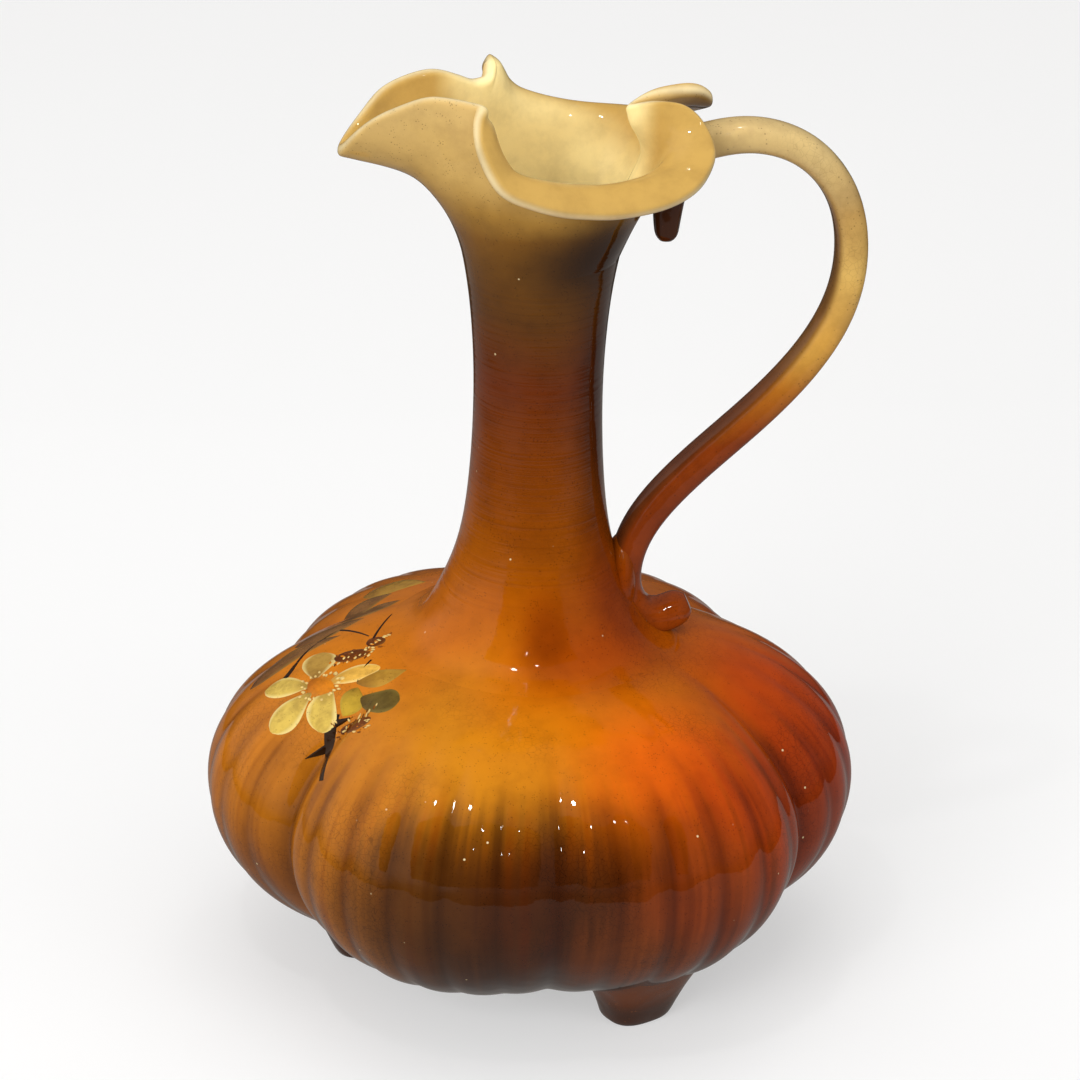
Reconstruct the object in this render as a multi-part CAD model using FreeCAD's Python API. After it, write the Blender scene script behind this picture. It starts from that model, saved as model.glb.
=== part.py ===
"""Ceramic ewer on three feet: a lobed body, a tall neck, a cut and rolled mouth, and a strap handle.

Millimetres, +Z up. The origin is on the body's axis at the plane the feet stand on. The handle
side is +X and the pouring spout points along -X. All the pieces are fired clay joined with slip.
"""
import FreeCAD
import Part
import os
from math import copysign, cos, degrees, pi, radians, sin

V = FreeCAD.Vector

# driving dimensions
SEAM_RADIUS = 37.0        # where the neck is luted on the shoulder
SEAM_Z = 94.5
NECK_TOP_RADIUS = 21.0
NECK_TOP_Z = 206.0
WALL = 4.4
LIP_THICK = 4.0
LOBES = 6
RIBS_PER_LOBE = 6
CREASE_DEPTH = 12.0       # how far the wall is drawn in between two lobes
CREASE_BREADTH = 0.55     # 1 makes the lobes plain cosine waves, less makes the creases narrower
RIB_DEPTH = 1.0
RIB_BREADTH = 0.8
SHALLOW_CREASE = -90.0    # the angle of the crease that was pressed in less than the others
SHALLOW_SHARE = 0.6
SHALLOW_REACH = 30.0

# how fine the surfaces' grids are
COLUMNS_PER_RIB = 4
MOUTH_COLUMNS = 120
STRAP_COLUMNS = 16
FOOT_COLUMNS = 24

# the feet as (distance from the axis, angle), and their rows as (height, growth of the section)
FEET = {"foot_spout": (47.0, 184.0), "foot_near": (52.0, -61.0), "foot_far": (51.0, 60.0)}
FOOT_DEPTH = 7.6          # half of the foot's size along the line to the body's axis
FOOT_WIDTH = 9.2          # half of its size across that line
FOOT_LEAN = 0.25          # how far the foot leans outward for each millimetre of height
FOOT_ROWS = [(0.0, 0.9), (0.0, 1.0), (3.0, 1.1), (8.0, 1.3), (15.0, 1.7), (24.0, 2.0)]
FOOT_SQUARENESS = 3.0     # 2 makes the foot's section an ellipse, more makes it squarer

# outlines as (radius, height) control points, from the seam down to the flat base
BODY_OUTSIDE = [(37, 94.5), (45, 93), (57, 89.5), (71, 83), (84.7, 71),
                (91, 54), (87.5, 35.4), (74.5, 18.8), (56, 10), (43, 8)]
BODY_INSIDE = [(32.6, 94.5), (40, 89), (54, 84.5), (66, 78), (78.5, 67),
               (85.7, 53), (82, 38), (70, 24.8), (54, 16.3), (39, 13.5)]
NECK_OUTSIDE = [(37, 94.5), (31, 98.5), (27.5, 106), (22.5, 116), (19.6, 127),
                (17.9, 143), (17.1, 163), (17.6, 182), (19.3, 198), (21, 206)]

# the collar at the mouth's foot leans out a little, and more at the back than under the spout
COLLAR_HEIGHT = 6.0
COLLAR_FLARE = 1.0
BACK_FLARE = 1.3
EDGE_ROUNDING = 0.55      # how far the lip's rounded edge reaches, as a share of its thickness

# the mouth's middle surface at angles from the spout, as (angle, lower wall, upper wall,
# crest, lip, edge); every pair is (radius, height)
SPOUT_TIP = [(0, (23.6, 222), (30.8, 231), (40, 234.5), (46, 235.5), (52, 236.5))]
NEAR_HALF = [(7, (23.6, 222), (30.8, 231.3), (39, 236), (44, 240), (46.5, 243.5)),
             (14, (23.6, 221.5), (30.8, 231.3), (37, 238.5), (40, 244), (41.5, 248.5)),
             (24, (23.5, 221), (30, 231), (32, 239), (33, 246.5), (33, 252.5)),
             (36, (23, 221), (28, 230), (29, 239), (28.5, 246.5), (27.5, 252)),
             (46, (22.5, 221), (26, 230.5), (27, 240), (26.5, 247), (25.8, 251.5)),
             (51, (22.5, 221), (25.8, 231), (26.5, 241), (26, 250), (29.5, 251)),
             (55, (22.5, 221), (25.5, 231), (27.2, 240.5), (28, 250), (33.2, 248)),
             (60, (22.5, 221), (25.3, 230.5), (27.4, 238), (30, 245.5), (34.8, 243)),
             (68, (22.5, 221), (25, 230), (27.2, 235), (30.2, 239.3), (35.4, 236.5)),
             (82, (22, 220), (24.5, 229), (25.8, 233.8), (29, 236.3), (34, 232.5)),
             (100, (22.5, 220), (24.8, 228), (25.5, 232.5), (28.5, 234.8), (33.8, 230)),
             (118, (23.2, 220.5), (26, 228), (27.5, 232), (30.5, 233.8), (35.5, 229)),
             (135, (24, 221), (28, 228.5), (30.5, 232.5), (34, 234), (39.5, 229.8)),
             (150, (24.5, 221), (30, 228.5), (33, 234), (37.5, 235.2), (43.5, 233)),
             (160, (25, 221), (31.5, 229.5), (34.8, 236.3), (38.8, 238.8), (44.3, 237.5)),
             (167, (24.5, 221), (31, 230), (33.2, 238), (35.5, 243), (41.5, 242.5)),
             (173, (24.2, 221), (30.2, 230), (31, 239), (29.5, 245), (35, 247)),
             (177, (24, 221), (29.8, 230), (29.5, 238.5), (26, 244), (28, 247))]
CLEFT = [(180, (24, 221), (29.8, 230), (29, 238), (24.8, 242.8), (22.5, 245))]
FAR_HALF = [(7, (23.6, 222), (30.8, 231.3), (39, 235.5), (43.5, 238.5), (45.5, 242)),
            (14, (23.6, 221.5), (30.8, 231.3), (37, 238), (39.5, 243), (40.5, 247.2)),
            (24, (23.5, 221), (29.5, 231), (31, 239), (31.5, 245.5), (31.5, 250.3)),
            (36, (23, 221), (27, 230), (27, 238), (26.5, 243.5), (26, 247.8)),
            (46, (22.5, 221), (25.5, 230), (25, 238), (24.5, 242.5), (24, 245.8)),
            (54, (22.5, 221), (24.8, 230.5), (24, 239), (23.3, 243.5), (22.8, 246.3)),
            (60, (22.5, 221), (24.5, 231), (23.4, 241), (22.8, 247.5), (24.2, 250)),
            (64, (22.5, 221), (24.5, 231), (23.2, 242), (23.8, 250.5), (28.2, 250.3)),
            (68, (22.5, 221), (24.5, 231), (23.6, 241), (25.8, 249.3), (31.8, 247)),
            (74, (22.5, 221), (24.5, 230), (24.5, 239), (27.8, 245), (35, 240)),
            (82, (22, 220), (24.5, 229), (25, 237), (28.5, 241.5), (34.6, 235.5)),
            (100, (22.5, 220), (24.8, 229), (25.5, 235.5), (28.5, 238.5), (34.2, 232)),
            (118, (23.2, 220.5), (26, 229), (27.5, 234.5), (30.5, 237.2), (35.5, 231)),
            (135, (24, 221), (28, 229), (30.5, 234.5), (34, 237), (39.5, 232)),
            (150, (24.5, 221), (30, 229), (33, 235.5), (37.5, 239), (44.5, 237.5)),
            (159, (25, 221), (30.8, 230), (33.5, 238), (38, 242.8), (46.8, 241)),
            (166, (24.5, 221), (30.3, 230), (32, 239), (35, 245), (45.5, 243.8)),
            (172, (24.2, 221), (30, 230), (30.5, 239.5), (30.5, 245.8), (39.5, 247.3)),
            (177, (24, 221), (29.8, 230), (29.5, 238.5), (26, 244), (29, 247.3))]

# the handle's centre line in the XZ plane, from the mouth's wall to the curled end on the shoulder
HANDLE_LINE = [(31, 232.3), (38, 234.6), (47, 237.4), (58, 238.2), (71, 233.5), (81, 221),
               (83.8, 204), (81, 188), (72.5, 173), (59.5, 158.5), (44.5, 145), (33, 133),
               (26.5, 122.5), (24.3, 112.5), (25.2, 105.3), (28.4, 99.8), (33.6, 97.7), (38.6, 100)]
HANDLE_THICK = 9.2
HANDLE_WIDTH = 12.0
HANDLE_END_TAPER = [1.03, 1.06, 1.0]
TAIL_LINE = [(35.5, 230), (34.2, 225), (33.3, 218), (33.2, 211.5)]
TAIL_THICK = 9.0
TAIL_TAPER = [1.0, 1.0, 0.92, 0.75]
STRAP_ROUNDNESS = 0.75    # 1 makes the strap's section an ellipse, less makes it squarer
END_ROWS = [(0.28, 0.9), (0.45, 0.5)]     # (reach, growth) of the rows that round off a coil's end

# the wad of slip in the crook of the handle, as an ellipsoid
SLIP_CENTRE = (23.5, 0.0, 109.5)
SLIP_RADII = (4.5, 9.5, 13.0)


def spline_surface(grid):
    """One smooth surface over columns of control points; the columns close on themselves."""
    columns = len(grid)
    rows = len(grid[0])
    surface = Part.BSplineSurface()
    u_knots = list(range(columns + 1))
    u_mults = [1] * (columns + 1)
    v_knots = list(range(rows - 2))
    v_mults = [4] + [1] * (rows - 4) + [4]
    surface.buildFromPolesMultsKnots(grid, u_mults, v_mults, u_knots, v_knots, True, False, 3, 3)
    return surface.toShape()


def end_wires(skin):
    """The closed edges at the first and the last row of a skin."""
    rims = [edge for edge in skin.Edges if edge.isClosed()]
    rims = [edge for edge in rims if not skin_seam(edge, skin)]
    return [Part.Wire(edge) for edge in rims]


def skin_seam(edge, skin):
    """True for the edge where the skin's first and last columns meet."""
    return sum(1 for other in skin.Edges if other.isSame(edge)) > 1


def closed_solid(faces):
    """A solid from faces that share their edges."""
    shell = Part.makeShell(faces)
    shell.sewShape()
    solid = Part.makeSolid(shell)
    if solid.Volume < 0:
        solid.reverse()
    return solid


def smooth_step(start, end, x):
    """0 up to the start, 1 past the end, and eased between them."""
    t = min(max((x - start) / (end - start), 0.0), 1.0)
    return t * t * (3 - 2 * t)


def inward(outline, row):
    """Unit direction into the wall at a control point of an outline."""
    before = outline[max(row - 1, 0)]
    after = outline[min(row + 1, len(outline) - 1)]
    dr = after[0] - before[0]
    dz = after[1] - before[1]
    length = (dr * dr + dz * dz) ** 0.5
    return dz / length, -dr / length


def wall_depths(along, ribbed):
    """How far the creases and the ribs draw the wall in, at a place along its outline."""
    crease = CREASE_DEPTH * smooth_step(0.05, 0.5, along) * (1 - smooth_step(0.74, 1, along))
    rib = RIB_DEPTH * smooth_step(0.2, 0.4, along) * (1 - smooth_step(0.75, 0.95, along))
    return crease, rib if ribbed else 0


def crease_share(angle):
    """1 at most creases, and less at the shallow one; the angle is in radians."""
    aside = (degrees(angle) - SHALLOW_CREASE + 180) % 360 - 180
    return 1 - (1 - SHALLOW_SHARE) * (1 - smooth_step(0, SHALLOW_REACH, abs(aside)))


def crown_distance(angle):
    """0 on the crown of a lobe and 1 at the crease between two; the angle is in radians."""
    return 1 - abs(cos(LOBES / 2 * angle)) ** CREASE_BREADTH


def rib_distance(angle):
    """0 on the crest of a rib and 1 in the groove between two."""
    return 1 - abs(sin(LOBES * RIBS_PER_LOBE / 2 * angle)) ** RIB_BREADTH


def true_circle(columns):
    """How far out control points lie so that the curve through them has the right radius."""
    return 3 / (2 + cos(2 * pi / columns))


def lobed_skin(outline, ribbed):
    """The body's wall: an outline turned round the axis, drawn in at the creases and the ribs."""
    columns = LOBES * RIBS_PER_LOBE * COLUMNS_PER_RIB
    last = len(outline) - 1
    depths = [wall_depths(row / last, ribbed) for row in range(last + 1)]
    grid = []
    for column in range(columns):
        angle = 2 * pi * column / columns
        in_crease = crown_distance(angle) * crease_share(angle)
        in_groove = rib_distance(angle)
        points = []
        for row, (radius, z) in enumerate(outline):
            crease, rib = depths[row]
            drawn_in = crease * in_crease + rib * in_groove
            dr, dz = inward(outline, row)
            r = (radius + dr * drawn_in) * true_circle(columns)
            points.append(V(r * cos(angle), r * sin(angle), z + dz * drawn_in))
        grid.append(points)
    return spline_surface(grid)


def lobed_lump(outline, ribbed):
    """A filled lump inside a lobed skin, flat at the seam and at the base."""
    skin = lobed_skin(outline, ribbed)
    caps = [Part.Face(wire) for wire in end_wires(skin)]
    return closed_solid([skin] + caps)


def body():
    """The bowl: the outer lump with the inner lump taken out of it."""
    return largest_solid(lobed_lump(BODY_OUTSIDE, True).cut(lobed_lump(BODY_INSIDE, False)))


def profile_curve(points):
    """A smooth curve over (radius, height) control points, as an edge in the XZ plane."""
    poles = [V(r, 0, z) for r, z in points]
    knots = list(range(len(poles) - 2))
    mults = [4] + [1] * (len(poles) - 4) + [4]
    curve = Part.BSplineCurve()
    curve.buildFromPolesMultsKnots(poles, mults, knots, False, 3)
    return curve.toShape()


def turned(outline_edges):
    """A solid turned round the axis from the edges of its half section."""
    face = Part.Face(Part.Wire(Part.__sortEdges__(outline_edges)))
    solid = face.revolve(V(0, 0, 0), V(0, 0, 1), 360)
    if solid.Volume < 0:
        solid.reverse()
    return solid


def neck():
    """The thrown tube, as thick at the foot as at the top."""
    inside = [(r - WALL, z) for r, z in NECK_OUTSIDE]
    outer_edge = profile_curve(NECK_OUTSIDE)
    inner_edge = profile_curve(inside)
    foot = Part.makeLine(V(inside[0][0], 0, SEAM_Z), V(SEAM_RADIUS, 0, SEAM_Z))
    top = Part.makeLine(V(inside[-1][0], 0, NECK_TOP_Z), V(NECK_TOP_RADIUS, 0, NECK_TOP_Z))
    return turned([outer_edge, inner_edge, foot, top])


def neck_core():
    """The neck as a filled lump, used to trim the handle."""
    outer_edge = profile_curve(NECK_OUTSIDE)
    foot = Part.makeLine(V(0, 0, SEAM_Z), V(SEAM_RADIUS, 0, SEAM_Z))
    top = Part.makeLine(V(0, 0, NECK_TOP_Z), V(NECK_TOP_RADIUS, 0, NECK_TOP_Z))
    axis = Part.makeLine(V(0, 0, SEAM_Z), V(0, 0, NECK_TOP_Z))
    return turned([outer_edge, foot, top, axis])


def blend(stations, angle):
    """The outline at any angle, eased between the two stations on either side of it."""
    for first, second in zip(stations, stations[1:]):
        if first[0] <= angle <= second[0]:
            t = (angle - first[0]) / (second[0] - first[0])
            return [(a[0] + (b[0] - a[0]) * t, a[1] + (b[1] - a[1]) * t)
                    for a, b in zip(first[1:], second[1:])]
    raise ValueError("no station at angle %g" % angle)


def mouth_middle():
    """Columns of points on the mouth's middle surface, all the way round."""
    far = [(360 - angle, *outline) for angle, *outline in reversed(FAR_HALF)]
    stations = SPOUT_TIP + NEAR_HALF + CLEFT + far + [(360, *SPOUT_TIP[0][1:])]
    throat = NECK_TOP_RADIUS - WALL / 2
    grid = []
    for column in range(MOUTH_COLUMNS):
        angle = 360 * column / MOUTH_COLUMNS
        turn = radians(180 + angle)
        flare = COLLAR_FLARE + BACK_FLARE * smooth_step(60, 150, min(angle, 360 - angle))
        collar = [(throat, NECK_TOP_Z), (throat + flare, NECK_TOP_Z + COLLAR_HEIGHT)]
        points = []
        for radius, z in collar + blend(stations, angle):
            r = radius * true_circle(MOUTH_COLUMNS)
            points.append(V(r * cos(turn), r * sin(turn), z))
        grid.append(points)
    return grid


def surface_normal(grid, column, row):
    """Which way the middle surface faces at a control point; positive is outward."""
    ahead = grid[(column + 1) % len(grid)][row]
    behind = grid[column - 1][row]
    above = grid[column][min(row + 1, len(grid[0]) - 1)]
    below = grid[column][max(row - 1, 0)]
    normal = (ahead - behind).cross(above - below)
    if row == 0:
        normal.z = 0
    return normal.normalize()


def outer_share(angle, row):
    """How much of the wall lies outside the middle surface.

    All of it does round the spout's sharp fold, none of it in the cleft between the two petals,
    and half of it elsewhere.
    """
    from_spout = min(angle, 360 - angle)
    height = smooth_step(0, 4, row)
    spout = 0.5 * (1 - smooth_step(8, 30, from_spout)) * height
    cleft = 0.5 * smooth_step(165, 178, from_spout) * height
    return 0.5 + spout - cleft


def mouth():
    """The collar with the spout and the two rolled petals, given thickness round its middle."""
    middle = mouth_middle()
    rows = len(middle[0])
    thickness = [WALL, WALL, (WALL + LIP_THICK) / 2] + [LIP_THICK] * (rows - 3)
    grid = []
    for column, points in enumerate(middle):
        inner = []
        outer = []
        for row, (point, thick) in enumerate(zip(points, thickness)):
            normal = surface_normal(middle, column, row)
            share = outer_share(360 * column / len(middle), row)
            inner.append(point - normal * thick * (1 - share))
            outer.append(point + normal * thick * share)
        over = (points[-1] - points[-2]).normalize() * LIP_THICK * EDGE_ROUNDING
        brim = [inner[-1] + over, outer[-1] + over]
        grid.append(inner + brim + outer[::-1])
    skin = spline_surface(grid)
    rims = end_wires(skin)
    rims.sort(key=lambda wire: wire.BoundBox.XLength)
    seat = Part.Face([rims[1], rims[0]])
    return closed_solid([skin, seat])


def strap(line, thick, width, taper):
    """A coil of clay along a line in the XZ plane, with rounded ends; taper scales its section."""
    count = len(line)
    grid = [[] for _ in range(STRAP_COLUMNS)]
    sections = []
    for index, (x, z) in enumerate(line):
        before = line[max(index - 1, 0)]
        after = line[min(index + 1, count - 1)]
        along = V(after[0] - before[0], 0, after[1] - before[1]).normalize()
        sections.append((V(x, 0, z), along, taper[index]))
    start, start_along, start_scale = sections[0]
    end, end_along, end_scale = sections[-1]
    for reach, growth in END_ROWS:
        before = start - start_along * thick * start_scale * reach
        beyond = end + end_along * thick * end_scale * reach
        sections.insert(0, (before, start_along, start_scale * growth))
        sections.append((beyond, end_along, end_scale * growth))
    for centre, along, scale in sections:
        outward = V(0, 1, 0).cross(along)
        for column in range(STRAP_COLUMNS):
            angle = 2 * pi * column / STRAP_COLUMNS
            across = copysign(abs(cos(angle)) ** STRAP_ROUNDNESS, cos(angle))
            aside = copysign(abs(sin(angle)) ** STRAP_ROUNDNESS, sin(angle))
            offset = outward * (across * thick / 2) + V(0, 1, 0) * (aside * width / 2)
            grid[column].append(centre + offset * scale)
    skin = spline_surface(grid)
    caps = [Part.Face(wire) for wire in end_wires(skin)]
    return closed_solid([skin] + caps)


def handle_blank():
    """The whole coil, before it is trimmed where it is pressed on the other pieces."""
    taper = [1.0] * (len(HANDLE_LINE) - len(HANDLE_END_TAPER)) + HANDLE_END_TAPER
    return strap(HANDLE_LINE, HANDLE_THICK, HANDLE_WIDTH, taper)


def tail_blank():
    """The short coil under the lip, before it is trimmed."""
    return strap(TAIL_LINE, TAIL_THICK, TAIL_THICK, TAIL_TAPER)


def slip_joint_blank():
    """The wad of slip in the crook between the neck and the handle."""
    pad = Part.makeSphere(1.0)
    shape = FreeCAD.Matrix()
    shape.scale(V(*SLIP_RADII))
    shape.move(V(*SLIP_CENTRE))
    return pad.transformGeometry(shape)


def foot_blank(distance, angle):
    """A tapered block of clay, pressed on under a lobe."""
    grid = []
    for column in range(FOOT_COLUMNS):
        turn = 2 * pi * column / FOOT_COLUMNS
        c = cos(turn)
        s = sin(turn)
        square = (abs(c) ** FOOT_SQUARENESS + abs(s) ** FOOT_SQUARENESS) ** (-1 / FOOT_SQUARENESS)
        points = []
        for z, growth in FOOT_ROWS:
            reach = square * growth
            centre = distance + FOOT_LEAN * z
            points.append(V(centre + FOOT_DEPTH * reach * c, FOOT_WIDTH * reach * s, z))
        grid.append(points)
    skin = spline_surface(grid)
    caps = [Part.Face(wire) for wire in end_wires(skin)]
    solid = closed_solid([skin] + caps)
    solid.rotate(V(0, 0, 0), V(0, 0, 1), angle)
    return solid


def largest_solid(shape):
    """The main piece left after trimming."""
    return max(shape.Solids, key=lambda solid: solid.Volume)


def build():
    """Every piece by its name; the coils, the slip and the feet are trimmed to what they meet."""
    core = lobed_lump(BODY_OUTSIDE, True)
    throat = neck_core()
    brim = mouth()
    nodes = {"body": body(), "neck": neck(), "mouth": brim}
    handle = handle_blank().cut(throat).cut(core).cut(brim)
    nodes["handle"] = largest_solid(handle)
    nodes["handle_tail"] = largest_solid(tail_blank().cut(nodes["handle"]).cut(brim))
    pad = slip_joint_blank().cut(throat).cut(nodes["handle"]).cut(core)
    nodes["handle_slip_joint"] = Part.makeCompound(pad.Solids)
    for name, (distance, angle) in FEET.items():
        nodes[name] = largest_solid(foot_blank(distance, angle).cut(core))
    return nodes


os.makedirs("parts", exist_ok=True)
for name, shape in build().items():
    print(name, shape.ShapeType, "valid" if shape.isValid() else "NOT VALID",
          "closed" if shape.isClosed() else "OPEN", round(shape.Volume), "mm3")
    shape.exportStep("parts/%s.step" % name)
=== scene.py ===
"""Glazed ceramic pitcher, as seen in a studio.

The scale and the neck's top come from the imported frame, and the rest from the outlines below:
smooth surfaces over columns of control points, turned into fine meshes, then painted with
procedural glazes. +Z is up, the spout points along -X and the handle stands at +X.
"""
import bmesh
import bpy
import numpy as np
from math import cos, pi, radians, sin
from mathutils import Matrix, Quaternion, Vector


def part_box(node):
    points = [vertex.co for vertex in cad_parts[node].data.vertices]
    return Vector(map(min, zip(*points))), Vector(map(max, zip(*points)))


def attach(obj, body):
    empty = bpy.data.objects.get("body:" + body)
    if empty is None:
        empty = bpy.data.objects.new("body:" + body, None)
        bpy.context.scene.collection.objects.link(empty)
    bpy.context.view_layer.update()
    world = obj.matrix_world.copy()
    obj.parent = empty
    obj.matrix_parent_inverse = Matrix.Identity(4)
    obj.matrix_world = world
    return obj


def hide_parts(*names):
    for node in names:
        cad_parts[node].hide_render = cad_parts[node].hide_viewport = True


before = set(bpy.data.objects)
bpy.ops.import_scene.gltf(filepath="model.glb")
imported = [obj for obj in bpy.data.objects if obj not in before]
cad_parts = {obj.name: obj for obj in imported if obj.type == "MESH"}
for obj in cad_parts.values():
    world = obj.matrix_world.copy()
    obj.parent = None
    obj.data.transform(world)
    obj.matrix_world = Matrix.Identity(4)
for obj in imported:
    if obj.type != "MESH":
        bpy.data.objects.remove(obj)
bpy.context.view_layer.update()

# driving dimensions: one millimetre of the drawing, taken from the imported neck's foot
SEAM_Z = 94.5
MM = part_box("neck")[0].z / SEAM_Z
NECK_TOP_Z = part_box("neck")[1].z / MM
NECK_TOP_RADIUS = 21.0
WALL = 4.4
LIP_THICK = 4.0
LOBES = 6
RIBS = 36
CREASE_DEPTH = 12.0
CREASE_BREADTH = 0.55     # 1 makes the lobes plain cosine waves, less makes the creases narrower
RIB_DEPTH = 1.0
RIB_BREADTH = 0.8
RIB_CREST = 0.27          # how far even a rib's crest lies under the outline
SHALLOW_CREASE = -90.0    # the angle of the crease that was pressed in less than the others
SHALLOW_SHARE = 0.6
SHALLOW_REACH = 30.0
CREASE_SOFTNESS = 0.002   # how far slip has filled an ordinary crease, and the shallow one more
SHALLOW_SOFTNESS = 0.014
SHARP_ANGLE = 50.0
SEED = 7

# the feet as (distance from the axis, angle), and their rows as (share of the height, growth)
FEET = {"foot_spout": (47.0, 184.0), "foot_near": (52.0, -61.0), "foot_far": (51.0, 60.0)}
FOOT_DEPTH = 7.6
FOOT_WIDTH = 9.2
FOOT_LEAN = 0.25
FOOT_SQUARENESS = 3.0
FOOT_ROWS = [(0, 0.9), (0, 1.0), (0.2, 1.1), (0.55, 1.3), (0.8, 1.5), (1, 1.7)]
FOOT_TOP = 15.5           # the foot ends inside the body's wall, higher on the outer side
FOOT_TOP_SLOPE = 5.0

# outlines as (radius, height) control points
BODY_OUTSIDE = [(37, 94.5), (45, 93), (57, 89.5), (71, 83), (84.7, 71),
                (91, 54), (87.5, 35.4), (74.5, 18.8), (56, 10), (43, 8)]
BODY_INSIDE = [(32.6, 94.5), (40, 89), (54, 84.5), (66, 78), (78.5, 67),
               (85.7, 53), (82, 38), (70, 24.8), (54, 16.3), (39, 13.5)]
# the slip smoothed over the seam runs from under the body's glaze up the neck's foot
NECK_OUTSIDE = [(40.6, 93.5), (38.6, 94.4), (35.2, 95.6), (30.6, 99), (26.6, 106.5), (22.5, 116),
                (19.6, 127), (17.9, 143), (17.1, 163), (17.6, 182), (19.3, 198), (21, 206)]
NECK_INSIDE = [(32.6, 94.5), (26.6, 98.5), (23.1, 106), (18.1, 116), (15.2, 127), (13.5, 143),
               (12.7, 163), (13.2, 182), (14.9, 198), (16.6, 206)]

# the collar at the mouth's foot leans out a little, and more at the back than under the spout
COLLAR_HEIGHT = 6.0
COLLAR_FLARE = 1.0
BACK_FLARE = 1.3
EDGE_ROUNDING = 0.53

# the mouth's middle surface at angles from the spout, as (angle, lower wall, upper wall,
# crest, lip, edge); every pair is (radius, height)
SPOUT_TIP = [(0, (23.6, 222), (30.8, 231), (40, 234.5), (46, 235.5), (52, 236.5))]
NEAR_HALF = [(7, (23.6, 222), (30.8, 231.3), (39, 236), (44, 240), (46.5, 243.5)),
             (14, (23.6, 221.5), (30.8, 231.3), (37, 238.5), (40, 244), (41.5, 248.5)),
             (24, (23.5, 221), (30, 231), (32, 239), (33, 246.5), (33, 252.5)),
             (36, (23, 221), (28, 230), (29, 239), (28.5, 246.5), (27.5, 252)),
             (46, (22.5, 221), (26, 230.5), (27, 240), (26.5, 247), (25.8, 251.5)),
             (51, (22.5, 221), (25.8, 231), (26.5, 241), (26, 250), (29.5, 251)),
             (55, (22.5, 221), (25.5, 231), (27.2, 240.5), (28, 250), (33.2, 248)),
             (60, (22.5, 221), (25.3, 230.5), (27.4, 238), (30, 245.5), (34.8, 243)),
             (68, (22.5, 221), (25, 230), (27.2, 235), (30.2, 239.3), (35.4, 236.5)),
             (82, (22, 220), (24.5, 229), (25.8, 233.8), (29, 236.3), (34, 232.5)),
             (100, (22.5, 220), (24.8, 228), (25.5, 232.5), (28.5, 234.8), (33.8, 230)),
             (118, (23.2, 220.5), (26, 228), (27.5, 232), (30.5, 233.8), (35.5, 229)),
             (135, (24, 221), (28, 228.5), (30.5, 232.5), (34, 234), (39.5, 229.8)),
             (150, (24.5, 221), (30, 228.5), (33, 234), (37.5, 235.2), (43.5, 233)),
             (160, (25, 221), (31.5, 229.5), (34.8, 236.3), (38.8, 238.8), (44.3, 237.5)),
             (167, (24.5, 221), (31, 230), (33.2, 238), (35.5, 243), (41.5, 242.5)),
             (173, (24.2, 221), (30.2, 230), (31, 239), (29.5, 245), (35, 247)),
             (177, (24, 221), (29.8, 230), (29.5, 238.5), (26, 244), (28, 247))]
CLEFT = [(180, (24, 221), (29.8, 230), (29, 238), (24.8, 242.8), (22.5, 245))]
FAR_HALF = [(7, (23.6, 222), (30.8, 231.3), (39, 235.5), (43.5, 238.5), (45.5, 242)),
            (14, (23.6, 221.5), (30.8, 231.3), (37, 238), (39.5, 243), (40.5, 247.2)),
            (24, (23.5, 221), (29.5, 231), (31, 239), (31.5, 245.5), (31.5, 250.3)),
            (36, (23, 221), (27, 230), (27, 238), (26.5, 243.5), (26, 247.8)),
            (46, (22.5, 221), (25.5, 230), (25, 238), (24.5, 242.5), (24, 245.8)),
            (54, (22.5, 221), (24.8, 230.5), (24, 239), (23.3, 243.5), (22.8, 246.3)),
            (60, (22.5, 221), (24.5, 231), (23.4, 241), (22.8, 247.5), (24.2, 250)),
            (64, (22.5, 221), (24.5, 231), (23.2, 242), (23.8, 250.5), (28.2, 250.3)),
            (68, (22.5, 221), (24.5, 231), (23.6, 241), (25.8, 249.3), (31.8, 247)),
            (74, (22.5, 221), (24.5, 230), (24.5, 239), (27.8, 245), (35, 240)),
            (82, (22, 220), (24.5, 229), (25, 237), (28.5, 241.5), (34.6, 235.5)),
            (100, (22.5, 220), (24.8, 229), (25.5, 235.5), (28.5, 238.5), (34.2, 232)),
            (118, (23.2, 220.5), (26, 229), (27.5, 234.5), (30.5, 237.2), (35.5, 231)),
            (135, (24, 221), (28, 229), (30.5, 234.5), (34, 237), (39.5, 232)),
            (150, (24.5, 221), (30, 229), (33, 235.5), (37.5, 239), (44.5, 237.5)),
            (159, (25, 221), (30.8, 230), (33.5, 238), (38, 242.8), (46.8, 241)),
            (166, (24.5, 221), (30.3, 230), (32, 239), (35, 245), (45.5, 243.8)),
            (172, (24.2, 221), (30, 230), (30.5, 239.5), (30.5, 245.8), (39.5, 247.3)),
            (177, (24, 221), (29.8, 230), (29.5, 238.5), (26, 244), (29, 247.3))]

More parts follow.
